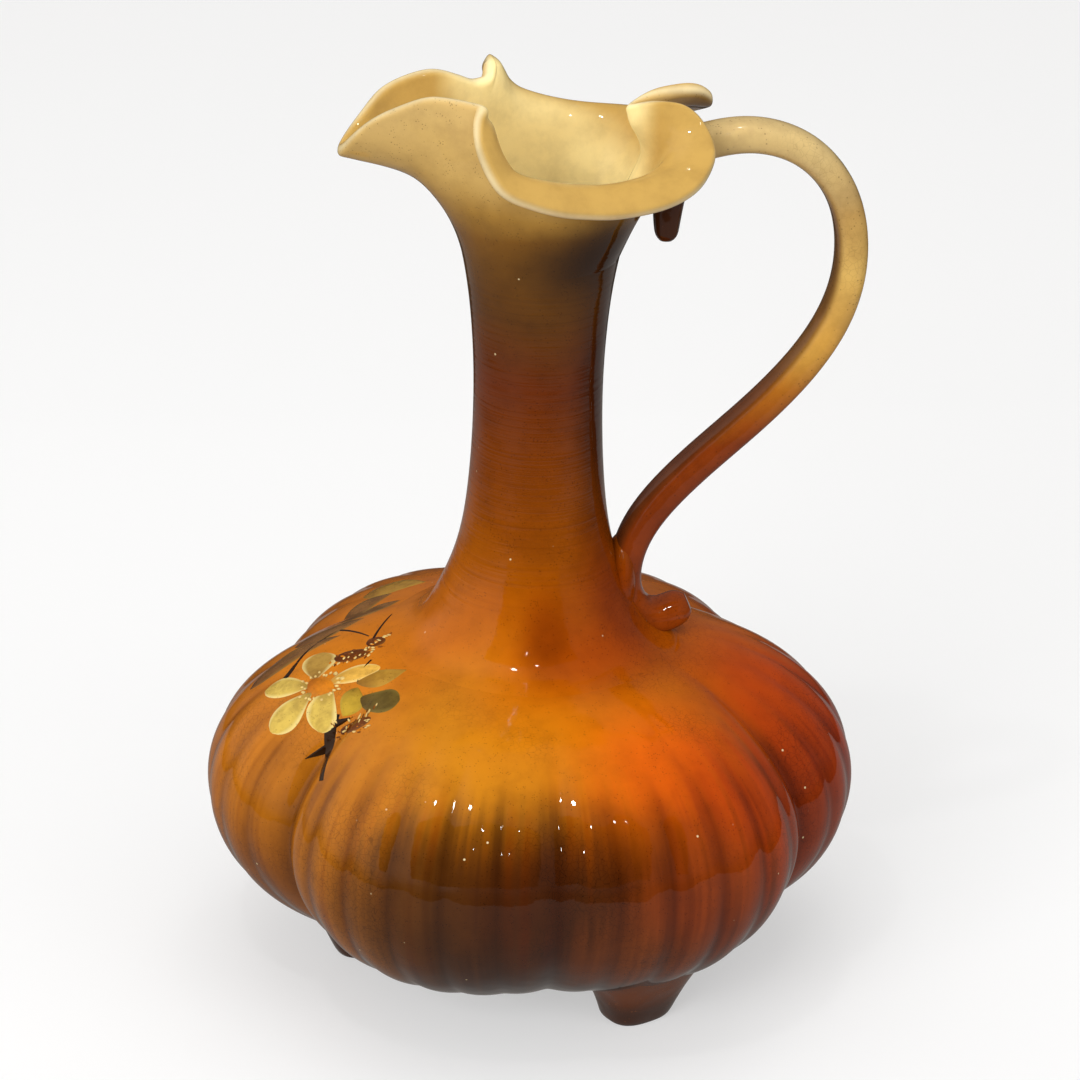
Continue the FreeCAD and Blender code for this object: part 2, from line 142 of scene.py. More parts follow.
# the handle's centre line in the XZ plane, from the mouth's wall to the curled end on the shoulder
HANDLE_LINE = [(31, 232.3), (38, 234.6), (47, 237.4), (58, 238.2), (71, 233.5), (81, 221),
               (83.8, 204), (81, 188), (72.5, 173), (59.5, 158.5), (44.5, 145), (33, 133),
               (26.5, 122.5), (24.3, 112.5), (25.2, 105.3), (28.4, 99.8), (33.6, 97.7), (38.6, 100)]
HANDLE_THICK = 9.2
HANDLE_WIDTH = 12.0
HANDLE_END_TAPER = [1.03, 1.06, 1.0]
TAIL_LINE = [(35.5, 230), (34.2, 225), (33.3, 218), (33.2, 211.5)]
TAIL_THICK = 9.0
TAIL_TAPER = [1.0, 1.0, 0.92, 0.75]
STRAP_ROUNDNESS = 0.75    # 1 makes the strap's section an ellipse, less makes it squarer
END_ROWS = [(0.28, 0.9), (0.45, 0.5)]     # (reach, growth) of the rows that round off a coil's end
SLIP_CENTRE = (23.5, 0.0, 109.5)
SLIP_RADII = (4.5, 9.5, 13.0)

# the painted slip stands up this much from the glaze
SLIP_RELIEF = 0.16
LAYER_LIFT = 0.03

# how fine the meshes are: points round each piece, and rows along it
CONTROLS_PER_RIB = 8
BODY_AROUND = 1080
BODY_OUTER_ROWS = 130
BODY_INNER_ROWS = 50
NECK_AROUND = 240
NECK_OUTER_ROWS = 160
NECK_INNER_ROWS = 80
MOUTH_CONTROLS = 144
MOUTH_AROUND = 720
MOUTH_ROWS = 150
STRAP_COLUMNS = 16
STRAP_AROUND = 64
FOOT_COLUMNS = 24
FOOT_AROUND = 96
FOOT_MESH_ROWS = 60
STROKE_AROUND = 14
STROKE_ROWS = 20

random = np.random.default_rng(SEED)


# ---------------------------------------------------------------- surfaces

def smooth_step(start, end, x):
    t = np.clip((x - start) / (end - start), 0, 1)
    return t * t * (3 - 2 * t)


def clamped_weights(count, places):
    """Weights of a clamped cubic spline's control points at places from 0 to 1."""
    knots = np.concatenate([[0] * 3, np.linspace(0, 1, count - 2), [1] * 3])
    t = np.clip(places, 0, 1 - 1e-9)[:, None]
    weights = ((t >= knots[:-1]) & (t < knots[1:])).astype(float)
    for degree in (1, 2, 3):
        rise = knots[degree:-1] - knots[:-1 - degree]
        fall = knots[degree + 1:] - knots[1:-degree]
        up = np.where(rise > 0, (t - knots[:-1 - degree]) / np.where(rise > 0, rise, 1), 0)
        down = np.where(fall > 0, (knots[degree + 1:] - t) / np.where(fall > 0, fall, 1), 0)
        weights = up * weights[:, :-1] + down * weights[:, 1:]
    return weights


def ring_weights(count, turns):
    """Weights of a closed cubic spline's control points at places round the ring, in radians."""
    place = np.asarray(turns) / (2 * pi) % 1 * count
    start = np.floor(place).astype(int)
    f = place - start
    weights = np.zeros((len(place), count))
    rows = np.arange(len(place))
    for shift, weight in ((-1, (1 - f) ** 3), (0, 3 * f ** 3 - 6 * f ** 2 + 4),
                          (1, -3 * f ** 3 + 3 * f ** 2 + 3 * f + 1), (2, f ** 3)):
        weights[rows, (start + shift) % count] += weight / 6
    return weights


def spline_curve(points, places):
    return clamped_weights(len(points), places) @ np.array(points, float)


def full_turn(count):
    return np.linspace(0, 2 * pi, count, endpoint=False)


def spline_surface(grid, around, places):
    """Points of a smooth surface over columns of control points that close on themselves."""
    across = ring_weights(len(grid), full_turn(around))
    along = clamped_weights(grid.shape[1], places)
    return np.einsum("ac,crk,br->abk", across, grid, along)


def face_outward(mesh):
    """Turn every face to look out of the clay."""
    shape = bmesh.new()
    shape.from_mesh(mesh)
    bmesh.ops.recalc_face_normals(shape, faces=shape.faces)
    shape.to_mesh(mesh)
    shape.free()


def mesh_piece(name, vertices, faces, marks):
    """A smooth mesh object, its vertices given in millimetres; marks are values kept at them."""
    mesh = bpy.data.meshes.new(name)
    mesh.from_pydata((vertices * MM).tolist(), [], faces)
    mesh.polygons.foreach_set("use_smooth", [True] * len(mesh.polygons))
    for key, values in marks.items():
        layer = mesh.attributes.new(key, "FLOAT", "POINT")
        layer.data.foreach_set("value", values.astype(float).ravel())
    face_outward(mesh)
    mesh.set_sharp_from_angle(angle=radians(SHARP_ANGLE))
    piece = bpy.data.objects.new(name, mesh)
    bpy.context.scene.collection.objects.link(piece)
    return piece


def grid_faces(columns, rows, first=0):
    """Quads between neighbouring columns of a grid's vertices, and a cap at each end."""
    index = first + np.arange(columns * rows).reshape(columns, rows)
    right = np.roll(index, -1, axis=0)
    quads = np.stack([index[:, :-1], right[:, :-1], right[:, 1:], index[:, 1:]], -1)
    caps = [index[::-1, 0].tolist(), index[:, -1].tolist()]
    return quads.reshape(-1, 4).tolist() + caps


def ring_faces(columns, rows):
    """Quads of a grid that closes on itself both ways."""
    index = np.arange(columns * rows).reshape(columns, rows)
    right = np.roll(index, -1, axis=0)
    up = np.roll(index, -1, axis=1)
    right_up = np.roll(right, -1, axis=1)
    return np.stack([index, right, right_up, up], -1).reshape(-1, 4).tolist()


def skin(name, points, marks=None, closed_profile=False):
    """A mesh object over a grid of points: columns round the pot, rows along its outline."""
    columns, rows = points.shape[:2]
    if closed_profile:
        faces = ring_faces(columns, rows)
    else:
        faces = grid_faces(columns, rows)
    spread = {key: np.broadcast_to(values, (columns, rows)) for key, values in (marks or {}).items()}
    return mesh_piece(name, points.reshape(-1, 3), faces, spread)


def finish_piece(piece, material, slot, *nodes):
    piece.data.materials.append(material)
    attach(piece, "root")
    if nodes:
        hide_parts(*nodes)
    return piece


# ---------------------------------------------------------------- the body

def wall_depths(along):
    """How far the creases and the ribs draw the wall in, at places along its outline."""
    crease = CREASE_DEPTH * smooth_step(0.05, 0.5, along) * (1 - smooth_step(0.74, 1, along))
    rib = RIB_DEPTH * smooth_step(0.2, 0.4, along) * (1 - smooth_step(0.78, 1, along))
    return crease, rib


def crown_distance(turn):
    """0 on the crown of a lobe and near 1 at the crease between two, which slip has softened."""
    softness = CREASE_SOFTNESS + SHALLOW_SOFTNESS * (1 - crease_share(turn))
    wave = (np.cos(LOBES / 2 * turn) ** 2 + softness) / (1 + softness)
    return 1 - wave ** (CREASE_BREADTH / 2)


def crease_share(turn):
    """1 at most creases, and less at the shallow one."""
    aside = (np.degrees(turn) - SHALLOW_CREASE + 180) % 360 - 180
    return 1 - (1 - SHALLOW_SHARE) * (1 - smooth_step(0, SHALLOW_REACH, np.abs(aside)))


def rib_distance(turn):
    """0 on the crest of a rib and 1 in the groove between two; no two ribs are quite alike."""
    wandering = turn + radians(0.9) * np.sin(3 * turn + 1) + radians(0.6) * np.sin(7 * turn + 2)
    groove = 1 - np.abs(np.sin(RIBS / 2 * wandering)) ** RIB_BREADTH
    return RIB_CREST + (0.9 + 0.15 * np.sin(5 * turn + 0.7)) * groove


def lobed_grid(outline, ribbed):
    """Control points of the body's wall, drawn in at the creases and the ribs."""
    turn = full_turn(RIBS * CONTROLS_PER_RIB)
    outline = np.array(outline, float)
    crease, rib = wall_depths(np.linspace(0, 1, len(outline)))
    drawn_in = np.outer(crown_distance(turn) * crease_share(turn), crease)
    if ribbed:
        drawn_in += np.outer(rib_distance(turn), rib)
    along = np.concatenate([outline[:1], outline[:-1]])
    slope = np.concatenate([outline[1:], outline[-1:]]) - along
    slope /= np.linalg.norm(slope, axis=1)[:, None]
    radius = outline[:, 0] + slope[:, 1] * drawn_in
    height = outline[:, 1] - slope[:, 0] * drawn_in
    return np.stack([radius * np.cos(turn)[:, None], radius * np.sin(turn)[:, None], height], -1)


def body():
    """The body's wall, inside and out. It has no floor: neither outline is carried to the axis."""
    down = np.linspace(0, 1, BODY_OUTER_ROWS)
    up = np.linspace(1, 0, BODY_INNER_ROWS)
    outer = spline_surface(lobed_grid(BODY_OUTSIDE, True), BODY_AROUND, down)
    inner = spline_surface(lobed_grid(BODY_INSIDE, False), BODY_AROUND, up)
    turn = full_turn(BODY_AROUND)
    crease, rib = wall_depths(down)
    # marks for the glaze: the rib grooves and the creases it darkens, partly for pooled glaze and partly as
    # painted shade
    groove = np.outer(rib_distance(turn), rib / RIB_DEPTH)
    fold = np.outer(crown_distance(turn) ** 2 * crease_share(turn), crease / CREASE_DEPTH)
    hidden = np.zeros((BODY_AROUND, BODY_INNER_ROWS))
    marks = {"inside": np.concatenate([hidden + 1, groove * 0], 1),
             "groove": np.concatenate([hidden, groove], 1),
             "fold": np.concatenate([hidden, fold], 1)}
    piece = skin("body_lobed", np.concatenate([inner, outer], axis=1), marks, closed_profile=True)
    return finish_piece(piece, GLAZES["pot"], "body", "body")


# ---------------------------------------------------------------- neck and mouth

def neck():
    outer = spline_curve(NECK_OUTSIDE, np.linspace(0, 1, NECK_OUTER_ROWS))
    inner = spline_curve(NECK_INSIDE, np.linspace(1, 0, NECK_INNER_ROWS))
    radius, height = np.concatenate([outer, inner]).T
    inside = np.concatenate([np.zeros(NECK_OUTER_ROWS), np.ones(NECK_INNER_ROWS)])
    turn = full_turn(NECK_AROUND)[:, None]
    points = np.stack([radius * np.cos(turn), radius * np.sin(turn), height + 0 * turn], -1)
    piece = skin("neck_thrown", points, {"inside": inside}, closed_profile=True)
    return finish_piece(piece, GLAZES["pot"], "neck", "neck")


def eased(angles, values, wanted):
    """A smooth curve through values at angles that never overshoots them."""
    step = np.diff(angles)[:, None]
    slope = np.diff(values, axis=0) / step
    both = slope[:-1] * slope[1:] > 0
    near = np.where(both, slope[:-1], 1)
    far = np.where(both, slope[1:], 1)
    near_weight = 2 * step[1:] + step[:-1]
    far_weight = step[1:] + 2 * step[:-1]
    middle = np.where(both, (near_weight + far_weight) / (near_weight / near + far_weight / far), 0)
    tangent = np.concatenate([slope[:1], middle, slope[-1:]])
    k = np.clip(np.searchsorted(angles, wanted, side="right") - 1, 0, len(angles) - 2)
    width = step[k]
    t = (wanted[:, None] - angles[k][:, None]) / width
    rise = 3 * t ** 2 - 2 * t ** 3
    leave = (t ** 3 - 2 * t ** 2 + t) * width * tangent[k]
    arrive = (t ** 3 - t ** 2) * width * tangent[k + 1]
    return (1 - rise) * values[k] + rise * values[k + 1] + leave + arrive


def mouth_middle(columns):
    """Columns of control points on the mouth's middle surface, and their angles from the spout."""
    far = [(360 - angle, *outline) for angle, *outline in reversed(FAR_HALF)]
    ring = SPOUT_TIP + NEAR_HALF + CLEFT + far
    before = [(angle - 360, *outline) for angle, *outline in ring[-3:]]
    after = [(angle + 360, *outline) for angle, *outline in ring[:3]]
    stations = before + ring + after
    angles = np.array([station[0] for station in stations], float)
    outlines = np.array([station[1:] for station in stations], float).reshape(len(stations), -1)
    wanted = np.arange(columns) * 360 / columns
    blended = eased(angles, outlines, wanted).reshape(columns, -1, 2)
    throat = NECK_TOP_RADIUS - WALL / 2
    from_spout = np.minimum(wanted, 360 - wanted)
    flare = COLLAR_FLARE + BACK_FLARE * smooth_step(60, 150, from_spout)
    collar = np.zeros((columns, 2, 2))
    collar[:, 0] = (throat, NECK_TOP_Z)
    collar[:, 1, 0] = throat + flare
    collar[:, 1, 1] = NECK_TOP_Z + COLLAR_HEIGHT
    radius, height = np.moveaxis(np.concatenate([collar, blended], axis=1), 2, 0)
    turn = np.radians(180 + wanted)[:, None]
    return np.stack([radius * np.cos(turn), radius * np.sin(turn), height], -1), from_spout


def outward_normals(middle):
    """Which way the mouth's middle surface faces at its control points."""
    ahead = np.roll(middle, -1, axis=0) - np.roll(middle, 1, axis=0)
    above = np.concatenate([middle[:, 1:], middle[:, -1:]], 1)
    below = np.concatenate([middle[:, :1], middle[:, :-1]], 1)
    normal = np.cross(ahead, above - below)
    normal[:, 0, 2] = 0
    return normal / np.linalg.norm(normal, axis=2)[..., None]


def outer_share(from_spout, rows):
    """How much of the wall lies outside the middle surface: all of it round the spout's fold,
    none of it in the cleft between the two petals, and half elsewhere."""
    height = smooth_step(0, 4, np.arange(rows))
    spout = 0.5 * (1 - smooth_step(8, 30, from_spout))
    cleft = 0.5 * smooth_step(165, 178, from_spout)
    return 0.5 + np.outer(spout - cleft, height)


def mouth():
    middle, from_spout = mouth_middle(MOUTH_CONTROLS)
    rows = middle.shape[1]
    normal = outward_normals(middle)
    share = outer_share(from_spout, rows)[..., None]
    thick = np.full((rows, 1), LIP_THICK)
    thick[:3, 0] = (WALL, WALL, (WALL + LIP_THICK) / 2)
    inner = middle - normal * thick * (1 - share)
    outer = middle + normal * thick * share
    over = middle[:, -1] - middle[:, -2]
    over *= LIP_THICK * EDGE_ROUNDING / np.linalg.norm(over, axis=1)[:, None]
    brim = np.stack([inner[:, -1] + over, outer[:, -1] + over], 1)
    grid = np.concatenate([inner, brim, outer[:, ::-1]], axis=1)
    places = np.linspace(0, 1, MOUTH_ROWS)
    points = spline_surface(grid, MOUTH_AROUND, places)
    inside = 1 - smooth_step(0.49, 0.53, places)
    # a band along the lip's edge that the glaze paints pale as a painted highlight
    lip_highlight = np.exp(-((places - 0.5) / 0.035) ** 2)
    piece = skin("mouth_folded", points, {"inside": inside, "lip_highlight": lip_highlight}, closed_profile=True)
    return finish_piece(piece, GLAZES["pot"], "mouth", "mouth")


# ---------------------------------------------------------------- handle, tail, slip and feet

def strap(name, line, thick, width, taper, along=220):
    """A coil of clay along a line in the XZ plane, with rounded ends; taper scales its section."""
    line = np.array(line, float)
    direction = np.gradient(line, axis=0)
    direction /= np.linalg.norm(direction, axis=1)[:, None]
    sections = list(zip(line, direction, taper))
    start, start_way, start_scale = sections[0]
    end, end_way, end_scale = sections[-1]
    for reach, growth in END_ROWS:
        before = start - start_way * thick * start_scale * reach
        beyond = end + end_way * thick * end_scale * reach
        sections.insert(0, (before, start_way, start_scale * growth))
        sections.append((beyond, end_way, end_scale * growth))
    c = np.cos(full_turn(STRAP_COLUMNS))
    s = np.sin(full_turn(STRAP_COLUMNS))
    across = np.sign(c) * np.abs(c) ** STRAP_ROUNDNESS * thick / 2
    aside = np.sign(s) * np.abs(s) ** STRAP_ROUNDNESS * width / 2
    grid = np.zeros((STRAP_COLUMNS, len(sections), 3))
    for row, (centre, way, scale) in enumerate(sections):
        grid[:, row, 0] = centre[0] + way[1] * across * scale
        grid[:, row, 1] = aside * scale
        grid[:, row, 2] = centre[1] - way[0] * across * scale
    places = np.linspace(0, 1, along)
    points = spline_surface(grid, STRAP_AROUND, places)
    outward = np.cos(full_turn(STRAP_AROUND))[:, None]
    return skin(name, points, {"outward": outward})


def handle():
    taper = [1.0] * (len(HANDLE_LINE) - len(HANDLE_END_TAPER)) + HANDLE_END_TAPER
    piece = strap("handle_strap", HANDLE_LINE, HANDLE_THICK, HANDLE_WIDTH, taper)
    return finish_piece(piece, GLAZES["handle"], "handle", "handle")


def handle_tail():
    # the drop takes the dark glaze: partly its own dark brown and partly painted shade, as it hangs under
    # the lip
    piece = strap("handle_tail_drop", TAIL_LINE, TAIL_THICK, TAIL_THICK, TAIL_TAPER, along=60)
    return finish_piece(piece, GLAZES["dark"], "tail", "handle_tail")


def slip_joint():
    """The wad of slip in the crook between the neck and the handle."""
    turn = full_turn(48)[:, None]
    rise = np.linspace(radians(-89), radians(89), 32)
    ball = np.stack([np.cos(rise) * np.cos(turn), np.cos(rise) * np.sin(turn),
                     np.sin(rise) + 0 * turn], -1)
    piece = skin("handle_slip", np.array(SLIP_CENTRE) + ball * np.array(SLIP_RADII))
    return finish_piece(piece, GLAZES["pot"], "slip", "handle_slip_joint")


def foot(name, distance, angle):
    """A tapered block of clay that ends inside the body's wall."""
    turn = full_turn(FOOT_COLUMNS)
    c = np.cos(turn)
    s = np.sin(turn)
    square = (np.abs(c) ** FOOT_SQUARENESS + np.abs(s) ** FOOT_SQUARENESS) ** (-1 / FOOT_SQUARENESS)
    grid = np.zeros((len(turn), len(FOOT_ROWS), 3))
    for row, (share, growth) in enumerate(FOOT_ROWS):
        height = share * (FOOT_TOP + FOOT_TOP_SLOPE * c)
        grid[:, row, 0] = distance + FOOT_LEAN * height + FOOT_DEPTH * square * growth * c
        grid[:, row, 1] = FOOT_WIDTH * square * growth * s
        grid[:, row, 2] = height
    points = spline_surface(grid, FOOT_AROUND, np.linspace(0, 1, FOOT_MESH_ROWS))
    x, y, z = np.moveaxis(points, 2, 0)
    cosine = cos(radians(angle))
    sine = sin(radians(angle))
    turned = np.stack([x * cosine - y * sine, x * sine + y * cosine, z], -1)
    piece = skin(name + "_clay", turned)
    return finish_piece(piece, GLAZES["dark"], "feet", name)


# ---------------------------------------------------------------- the painted blossom

def on_body(turns, places):
    """Points of the body's outer wall at angles in radians and places along its outline."""
    columns = np.einsum("nc,crk->nrk", ring_weights(len(BODY_GRID), turns), BODY_GRID)
    return np.einsum("nrk,nr->nk", columns, clamped_weights(BODY_GRID.shape[1], places))


def place_at(turn, height):
    """The place along the outline where the wall comes down to a height."""
    places = np.linspace(0, 0.6, 120)
    wall = on_body(np.full(len(places), turn), places)
    return np.interp(-height, -wall[:, 2], places)


def off_the_body(turns, places, lift):
    """Points at a small distance above the body's wall."""
    step = 1e-3
    wall = on_body(turns, places)
    around = on_body(turns + step, places) - wall
    down = on_body(turns, places + step) - wall
    normal = np.cross(down, around)
    normal /= np.linalg.norm(normal, axis=1)[:, None]
    return wall + normal * lift[:, None]


def brush_width(shape, run):
    """How wide a brush stroke is along its run, as a share of its full width."""
    if shape == "petal":
        return np.sin(pi * run ** 1.5) ** 0.55
    if shape == "leaf":
        return np.sin(pi * run ** 0.85) ** 0.9
    if shape == "twig":
        return 1 - 0.55 * run
    if shape == "thorn":
        return 1 - 0.95 * run
    return np.sin(pi * run) ** 0.5


def stroke(start, end, width, shape, bow, layer):
    """A brush stroke of slip as a thin lens on the body, from one (angle, height) to another.

    The bow bends its middle aside, and the layer lifts it over the strokes it covers.
    """
    first = radians(start[0])
    last = radians(end[0])
    first_place = place_at(first, start[1])
    last_place = place_at(last, end[1])
    ends = on_body(np.array([first, last]), np.array([first_place, last_place]))
    radius = np.hypot(ends[:, 0], ends[:, 1]).mean()
    way = np.array([(last - first) * radius, (last_place - first_place) * OUTLINE_LENGTH])
    length = np.hypot(*way)
    side = np.array([-way[1], way[0]]) / length
    run = np.linspace(0.004, 0.996, STROKE_ROWS)
    section = full_turn(STROKE_AROUND)[:, None]
    breadth = np.cos(section)
    aside = breadth * brush_width(shape, run) * width / 2 + bow * 4 * run * (1 - run)
    turns = first + (run * way[0] + aside * side[0]) / radius
    places = first_place + (run * way[1] + aside * side[1]) / OUTLINE_LENGTH
    lift = SLIP_RELIEF * np.sin(section) * (0.4 + 0.6 * brush_width("dab", run))
    lift = np.maximum(lift, -SLIP_RELIEF / 2) + LAYER_LIFT * layer
    points = off_the_body(turns.ravel(), places.ravel(), lift.ravel())
    points = points.reshape(STROKE_AROUND, STROKE_ROWS, 3)
    return points, np.abs(breadth) + 0 * run, run + 0 * breadth


def painted(name, material, strokes):
    """One piece made of many brush strokes; each is (tint, what stroke() takes)."""
    vertices = []
    faces = []
    rims = []
    runs = []
    tints = []
    for tint, *details in strokes:
        points, rim, run = stroke(*details)
        faces += grid_faces(*points.shape[:2], first=sum(len(group) for group in vertices))
        vertices.append(points.reshape(-1, 3))
        rims.append(rim.ravel())
        runs.append(run.ravel())
        tints.append(np.full(rim.size, tint))
    marks = {"rim": np.concatenate(rims), "run": np.concatenate(runs), "tint": np.concatenate(tints)}
    return finish_piece(mesh_piece(name, np.concatenate(vertices), faces, marks), material, "body")


def petals():
    """Five petals round the heart: three pale ones, a golden one and a dull one behind."""
    pale = 0.0
    golden = 0.5
    dull = 1.0
    return [(dull, (190.5, 86.6), (179.2, 88.8), 13.0, "petal", 0.0, 0),
            (golden, (195.0, 87.2), (200.2, 92.2), 7.0, "petal", -0.8, 1),
            (pale, (192.0, 85.6), (182.8, 79.6), 8.4, "petal", 0.6, 1),
            (pale, (194.6, 85.2), (196.0, 75.8), 10.0, "petal", 0.0, 2),
            (pale, (197.2, 87.2), (206.0, 79.6), 10.5, "petal", 0.5, 3)]


def leaves():
    olive = 0.0
    green = 0.35
    brown = 0.7
    shade = 1.0
    return [(olive, (201.0, 89.2), (209.0, 93.3), 6.5, "leaf", 0.0, 0),
            (green, (203.0, 88.8), (207.2, 83.6), 7.5, "leaf", -0.8, 0),
            (brown, (206.0, 87.2), (219.8, 90.4), 10.5, "petal", 0.0, 0),
            (shade, (177.4, 76.6), (171.0, 90.3), 9.5, "leaf", -1.2, 0),
            (shade, (158.4, 88.0), (146.0, 93.2), 8.0, "leaf", 0.6, 0),
            (olive, (138.5, 86.8), (127.0, 92.9), 12.0, "leaf", 0.4, 0),
            (shade, (168.0, 84.0), (160.0, 91.4), 11.0, "leaf", 0.8, 0),
            (shade, (152.0, 84.5), (139.0, 91.4), 10.0, "leaf", 0.6, 0)]


def twigs():
    bark = 0.0
    return [(bark, (204.8, 83.8), (216.0, 72.8), 4.2, "twig", 0.3, 0),
            (bark, (207.0, 81.9), (209.4, 84.0), 2.4, "thorn", 0.0, 1),
            (bark, (209.4, 76.6), (206.9, 73.6), 2.6, "thorn", 0.0, 1),
            (bark, (183.0, 83.4), (178.8, 85.6), 2.6, "twig", 0.0, 0),
            (bark, (178.8, 85.6), (166.5, 89.7), 1.2, "twig", -0.6, 0),
            (bark, (166.5, 89.7), (177.4, 92.8), 1.0, "twig", -1.0, 0),
            (bark, (181.0, 93.0), (160.4, 93.8), 0.8, "twig", 0.4, 0),
            (bark, (194.0, 92.2), (201.2, 89.3), 0.7, "twig", 0.3, 0)]


def dab_cluster(start, end, across, count):
    """A head of seeds: short dark and pale dabs strewn along a line, slanting outward."""
    dabs = []
    for _ in range(count):
        run = random.uniform(-0.05, 1.05)
        aside = random.uniform(-1, 1)
        turn = start[0] + (end[0] - start[0]) * run + across[0] * aside
        height = start[1] + (end[1] - start[1]) * run + across[1] * aside
        size = random.uniform(0.5, 1.0)
        tip = (turn + 0.5 * across[0] * size, height + 0.5 * across[1] * size * np.sign(aside))
        tint = random.choice([0.0, 0.25, 0.5, 1.0], p=[0.2, 0.25, 0.15, 0.4])
        dabs.append((tint, (turn, height), tip, 0.9 * size, "dab", 0.0, 1 + 2 * tint))
    return dabs


def stamens(centre, reach, count):
    """Cream dots in a ring round the flower's heart."""
    dots = []
    for index in range(count):
        spoke = 2 * pi * index / count + random.uniform(-0.15, 0.15)
        near = random.uniform(0.75, 1.3)
        turn = centre[0] + reach[0] * near * cos(spoke)
        height = centre[1] + reach[1] * near * sin(spoke)
        tip = (turn + 0.25 * reach[0] * cos(spoke), height + 0.25 * reach[1] * sin(spoke))
        dots.append((1.0, (turn, height), tip, 0.9, "dab", 0.0, 6))
    return dots


def seeds():
    """Three seed heads beside the flower, and its heart with the stamens."""
    brown = 0.0
    orange = 0.5
    heads = [((185.4, 89.6), (188.6, 92.7), (2.6, -0.7), 40),
             ((184.6, 92.6), (181.0, 93.7), (3.0, -0.5), 30),
             ((209.6, 80.4), (216.4, 86.4), (-2.6, 1.4), 44)]
    strokes = [(brown, start, end, 5.5, "dab", 0.0, 0) for start, end, _, _ in heads]
    strokes.append((orange, (190.4, 85.6), (198.4, 87.0), 8.0, "dab", 0.0, 4))
    for head in heads:
        strokes += dab_cluster(*head)
    return strokes + stamens((194.2, 86.3), (4.2, 2.1), 30)


def blossom():
    painted("painted_leaves", slip_paint("slip_leaf", LEAF_STOPS, "A08C3C", 0.2), leaves())
    painted("painted_twigs", slip_paint("slip_twig", TWIG_STOPS, "3A2410", 0.2), twigs())
    painted("painted_petals", slip_paint("slip_petal", PETAL_STOPS, "ECD890", 0.6), petals())
    painted("painted_seeds", slip_paint("slip_seed", SEED_STOPS, "C89A50", 0.1), seeds())


# ---------------------------------------------------------------- glazes

def colour(code):
    """Linear RGBA from a hex colour."""
    values = np.array([int(code[i:i + 2], 16) / 255 for i in (0, 2, 4)])
    linear = np.where(values <= 0.04045, values / 12.92, ((values + 0.055) / 1.055) ** 2.4)
    return (*linear, 1.0)


